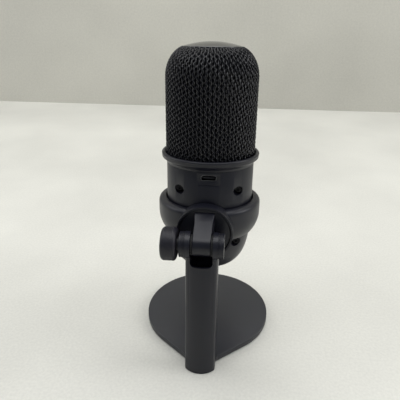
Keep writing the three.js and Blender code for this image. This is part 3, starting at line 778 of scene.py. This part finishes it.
def shell_half(side):
    """One half of the hollow body, split on the plane through its axis."""
    shell = lathe("shell", dome_profile(0, SHELL_TOP), HEAD)
    cut(shell, lathe("room", dome_profile(SHELL_WALL, SHELL_TOP + CLEAR), HEAD))
    depth = (GAP / 2, SPLIT_WIDTH) if side > 0 else (-SPLIT_WIDTH, -GAP / 2)
    width = (-SPLIT_WIDTH, SPLIT_WIDTH)
    return common(shell, block(width, depth, (-SPLIT_HEIGHT, SPLIT_HEIGHT), HEAD))


def make_rear_shell():
    """The shell's rear half, with its screw posts, the socket's opening and the dish round it."""
    screw_x = BODY_RADIUS * math.sin(SHELL_SCREW_ANGLE)
    rear = shell_half(1)
    for height in SHELL_SCREW_HEIGHTS:
        for x in (-screw_x, screw_x):
            at_screw = HEAD @ shift(x, 0, height) @ ALONG_Y
            post = rod(POST_RADIUS, SHELL_SCREW_SEAT - POST_DEPTH, FAR, at_screw)
            join(rear, common(post, lathe("outside", dome_profile(POST_INSET, SHELL_TOP), HEAD)))
            counterbore = rod(COUNTERBORE_RADIUS, SHELL_SCREW_SEAT, FAR, at_screw)
            cut(rear, counterbore, rod(SHELL_SCREW_HOLE, 0, FAR, at_screw))
    opening = rounded_rectangle(
        SOCKET_WIDTH + 2 * SOCKET_MARGIN,
        SOCKET_THICKNESS + 2 * SOCKET_MARGIN,
        SOCKET_CORNER + SOCKET_MARGIN,
        (0, SOCKET_HEIGHT),
    )
    dish = rounded_rectangle(DISH_WIDTH, DISH_HEIGHT, DISH_CORNER, (0, SOCKET_HEIGHT - DISH_DROP))
    standing = HEAD @ STANDING
    cut(
        rear,
        slab(opening, -FAR, -INSIDE_WALL, standing),
        slab(dish, -FAR, DISH_DEPTH - BODY_RADIUS, standing),
    )
    soften(rear, SHELL_EDGE, segments=2)
    piece(rear, "rear_shell_body", "head", "charcoal_plastic", "rear_shell")


def make_front_shell():
    """The shell's front half, with the status light's hole."""
    front = shell_half(-1)
    at_light = HEAD @ shift(0, 0, SOCKET_HEIGHT - LIGHT_DROP) @ ALONG_Y
    cut(front, rod(LIGHT_RADIUS, -FAR, -INSIDE_WALL, at_light))
    soften(front, SHELL_EDGE, segments=2)
    piece(front, "front_shell_body", "head", "charcoal_plastic", "front_shell")


def make_socket():
    standing = HEAD @ STANDING
    middle = (0, SOCKET_HEIGHT)
    outline = rounded_rectangle(SOCKET_WIDTH, SOCKET_THICKNESS, SOCKET_CORNER, middle)
    mouth = rounded_rectangle(
        SOCKET_WIDTH - 2 * SOCKET_RIM,
        SOCKET_THICKNESS - 2 * SOCKET_RIM,
        SOCKET_CORNER - SOCKET_RIM,
        middle,
    )
    can = slab(outline, -SOCKET_FACE, -BOARD_REAR - SOCKET_STANDOFF, standing)
    cut(can, slab(mouth, -FAR, -BOARD_REAR + CLEAR, standing))
    soften(can, SOCKET_EDGE, segments=2)
    piece(can, "socket_can", "head", "zinc_steel", "usb_socket_shell")


# ---------------------------------------------------------------- collar, cap, foam and grille


def make_collar():
    inner = BODY_RADIUS - SHELL_WALL
    spigot_inner = inner - SPIGOT_INSET
    spigot_outer = inner - GAP
    spigot_foot = COLLAR_BOTTOM - SPIGOT_DEPTH
    cove = (BODY_RADIUS + COVE_OUT, COLLAR_BOTTOM + COVE_UP)
    lip = (COLLAR_RADIUS - COLLAR_LIP, COLLAR_TOP - COLLAR_LIP)
    profile = [
        (spigot_inner, spigot_foot),
        (spigot_outer, spigot_foot),
        (spigot_outer, COLLAR_BOTTOM),
        (BODY_RADIUS, COLLAR_BOTTOM),
        *arc(cove, (COVE_RADIUS, COVE_RADIUS), *COVE_ANGLES, FILLET_STEPS),
        (COLLAR_RADIUS - COLLAR_LIP_TAPER, COLLAR_TOP - COLLAR_LIP_DEPTH),
        *arc(lip, (COLLAR_LIP, COLLAR_LIP), *LIP_ANGLES, LIP_STEPS),
        (COLLAR_RIM, COLLAR_TOP),
        (COLLAR_RIM, LEDGE_TOP),
        (spigot_inner, LEDGE_TOP),
    ]
    collar = soften(lathe("collar", profile, HEAD), COLLAR_EDGE, segments=2)
    piece(collar, "collar_body", "head", "charcoal_plastic", "collar_ring")


def make_cap():
    """The domed disc, with the thin skirt under it that holds it in the grille."""
    under = CAP_EDGE - CAP_THICKNESS
    skirt_inner = CAP_SKIRT_RADIUS - CAP_SKIRT_WALL
    flat = CAP_RADIUS - CAP_ROUNDING
    rounding = (flat, CAP_EDGE - CAP_ROUNDING)
    dome = [
        (flat * share, CAP_TOP - CAP_MARGIN - (CAP_TOP - CAP_EDGE) * share**2)
        for share in np.linspace(1, 0, CAP_STEPS + 1)[1:]
    ]
    profile = [
        (0, under),
        (skirt_inner, under),
        (skirt_inner, CAP_SKIRT_FOOT),
        (CAP_SKIRT_RADIUS, CAP_SKIRT_FOOT),
        (CAP_SKIRT_RADIUS, under),
        (CAP_RADIUS, under),
        *arc(rounding, (CAP_ROUNDING, CAP_ROUNDING), 0, 90, CAP_ROUNDING_STEPS),
        *dome,
    ]
    cap = outwards(lathe("cap", profile, HEAD))
    piece(smooth(cap), "cap_disc", "head", "cap_plastic", "touch_cap")


def grille_curve(inset, bottom, steps):
    """(radius, height) points some depth below the grille's surface, up to the cap's edge."""
    across = GRILLE_RADIUS - SHOULDER_CENTRE - inset
    rise = GRILLE_CROWN - SHOULDER_START - inset
    stop = math.degrees(math.acos((CAP_RADIUS + GAP - SHOULDER_CENTRE) / across))
    shoulder = arc((SHOULDER_CENTRE, SHOULDER_START), (across, rise), 0, stop, steps)
    return [(GRILLE_RADIUS - inset, bottom), *shoulder]


def make_foam():
    inset = GRILLE_WALL + GAP
    bottom = LEDGE_TOP + GAP + FOAM_FOOT
    outer = grille_curve(inset, bottom, SHOULDER_STEPS)
    inner = grille_curve(inset + FOAM_THICKNESS, bottom, SHOULDER_STEPS)
    foam = outwards(lathe("foam", outer + inner[::-1], HEAD))
    lining = piece(smooth(foam), "foam_lining", "head", "black_foam", "grille_foam")


def weave_rows():
    """Places along a strand, with the radius, height and outward direction at each."""
    bottom = LEDGE_TOP + GAP + WIRE_RADIUS
    curve = np.array(grille_curve(WIRE_SWING + WIRE_RADIUS, bottom, WEAVE_CURVE_STEPS))
    steps = np.linalg.norm(np.diff(curve, axis=0), axis=1)
    along = np.concatenate([[0], np.cumsum(steps)])
    count = int(along[-1] / WEAVE_HEIGHT * POINTS_PER_HOLE) + 1
    places = np.linspace(0, along[-1], count)
    radius = np.interp(places, along, curve[:, 0])
    height = np.interp(places, along, curve[:, 1])
    slope = np.stack([np.gradient(radius), np.gradient(height)], axis=1)
    slope /= np.linalg.norm(slope, axis=1)[:, None]
    outward = np.stack([slope[:, 1], -slope[:, 0]], axis=1)
    return places, radius, height, outward


def wire_path(rows, middle, turn, edge):
    """Centre line of one wire of a pair, and the surface's outward direction along it.

    middle is how far round the pair stands, turn the way it sways first, edge the wire's side.
    """
    places, radius, height, outward = rows
    phase = 2 * math.pi * places / WEAVE_HEIGHT
    sideways = turn * STRAND_SWAY * np.cos(phase) + edge * STRAND_HALF
    angle = (middle + sideways) / GRILLE_RADIUS
    swing = edge * WIRE_SWING * np.sin(phase / 2 + turn * math.pi / 4)
    path_radius = radius + outward[:, 0] * swing
    path_height = height + outward[:, 1] * swing
    direction = np.stack([np.cos(angle), np.sin(angle)], axis=1)
    centre = np.column_stack([path_radius[:, None] * direction, path_height])
    normal = np.column_stack([outward[:, :1] * direction, outward[:, 1]])
    return centre, normal


def tube_points(centre, normal, thickness):
    """A ring of points round each point of a centre line."""
    tangent = np.gradient(centre, axis=0)
    tangent /= np.linalg.norm(tangent, axis=1)[:, None]
    normal = normal - (normal * tangent).sum(1)[:, None] * tangent
    normal /= np.linalg.norm(normal, axis=1)[:, None]
    across = np.cross(tangent, normal)
    sides = 2 * math.pi * np.arange(WEAVE_SIDES) / WEAVE_SIDES
    offset = (
        normal[:, None, :] * np.cos(sides)[None, :, None]
        + across[:, None, :] * np.sin(sides)[None, :, None]
    )
    return centre[:, None, :] + thickness[:, None, None] * offset


def make_grille():
    """Pairs of wires. Next to each other they sway opposite ways, which leaves upright holes."""
    rows = weave_rows()
    thickness = WIRE_RADIUS * (rows[1] / GRILLE_RADIUS)
    spacing = 2 * math.pi * GRILLE_RADIUS / WEAVE_STRANDS
    wires = []
    for strand in range(WEAVE_STRANDS):
        turn = 1 if strand % 2 else -1
        for edge in (1, -1):
            centre, normal = wire_path(rows, strand * spacing, turn, edge)
            wires.append(tube_points(centre, normal, thickness))
    points = np.array(wires)
    grid = np.arange(points[..., 0].size).reshape(points.shape[:-1])
    following = np.roll(grid, -1, axis=2)
    corners = [grid[:, :-1], following[:, :-1], following[:, 1:], grid[:, 1:]]
    quads = np.stack(corners, axis=-1).reshape(-1, 4)
    woven = make("woven", points.reshape(-1, 3), quads.tolist(), HEAD)
    piece(smooth(woven, WIRE_SHARP), "woven_grille", "head", "grille_wire", "grille")


# ---------------------------------------------------------------- CAD nodes that stay


def dress_remaining():
    """Gives every CAD node that stays rounded edges and its slot's material."""
    slots = {part["node"]: part["material_slot"] for part in frame["record"]["subparts"]}
    for name, node in frame["nodes"].items():
        node.data.materials.clear()
        node.data.materials.append(BY_SLOT[slots[name]])
        if node.hide_render:
            continue
        weld = node.modifiers.new("weld", "WELD")
        weld.merge_threshold = CAD_SAME_PLACE
        edges = node.modifiers.new("edges", "BEVEL")
        edges.width = EDGE_WIDTHS.get(name, SMALL_EDGE) * MM
        edges.segments = 3
        edges.limit_method = "ANGLE"
        edges.angle_limit = math.radians(SHARP)
        edges.harden_normals = True
        node.data.polygons.foreach_set("use_smooth", [True] * len(node.data.polygons))


# ---------------------------------------------------------------- studio


def make_stage():
    """The table top and the wall behind it."""
    width = (-STAGE_HALF, STAGE_HALF)
    floor = block(width, width, (-STAGE_THICKNESS, -TABLE_DROP))
    floor.name = "floor"
    white = surface("floor_white", linear(216, 215, 207), 0.5, grain=600, depth=0.01, patch=6)
    floor.data.materials.append(white)
    wall_depth = (-WALL_DISTANCE - STAGE_THICKNESS, -WALL_DISTANCE)
    wall = block(width, wall_depth, (-STAGE_THICKNESS, WALL_TOP))
    wall.name = "backdrop"
    grey = surface("wall_grey", linear(200, 198, 188), 0.6, grain=300, depth=0.01, patch=4)
    wall.data.materials.append(grey)


def make_lights():
    """The sky's even light and the lamps."""
    world = bpy.data.worlds.new("studio")
    bpy.context.scene.world = world
    world.use_nodes = True
    sky = world.node_tree.nodes["Background"]
    sky.inputs["Color"].default_value = SKY_COLOUR
    sky.inputs["Strength"].default_value = SKY_STRENGTH
    bpy.context.scene.view_settings.view_transform = "Standard"

    for name, place, size, power in LAMPS:
        data = bpy.data.lights.new(name, "AREA")
        data.size = size
        data.energy = power
        lamp = bpy.data.objects.new(name, data)
        aim = Vector(LAMP_TARGET) - Vector(place)
        lamp.location = place
        lamp.rotation_mode = "QUATERNION"
        lamp.rotation_quaternion = aim.to_track_quat("-Z", "Y")
        bpy.context.scene.collection.objects.link(lamp)


def make_camera():
    data = bpy.data.cameras.new("camera")
    data.sensor_width = CAMERA_SENSOR
    data.lens = CAMERA_LENS
    camera = bpy.data.objects.new("camera", data)
    forward = Vector(CAMERA_FORWARD).normalized()
    level = Vector(CAMERA_LEVEL).normalized()
    right = (level + CAMERA_ROLL * level.cross(forward)).normalized()
    up = right.cross(forward)
    turned = Matrix((right, up, -forward)).transposed().to_4x4()
    camera.matrix_world = shift(*CAMERA_PLACE) @ turned
    bpy.context.scene.collection.objects.link(camera)
    bpy.context.scene.camera = camera


make_camera()
make_stage()
make_lights()
make_column()
make_knob()
make_ring()
make_arm()
make_rear_shell()
make_front_shell()
make_socket()
make_collar()
make_cap()
make_foam()
make_grille()
dress_remaining()

bpy.context.view_layer.update()
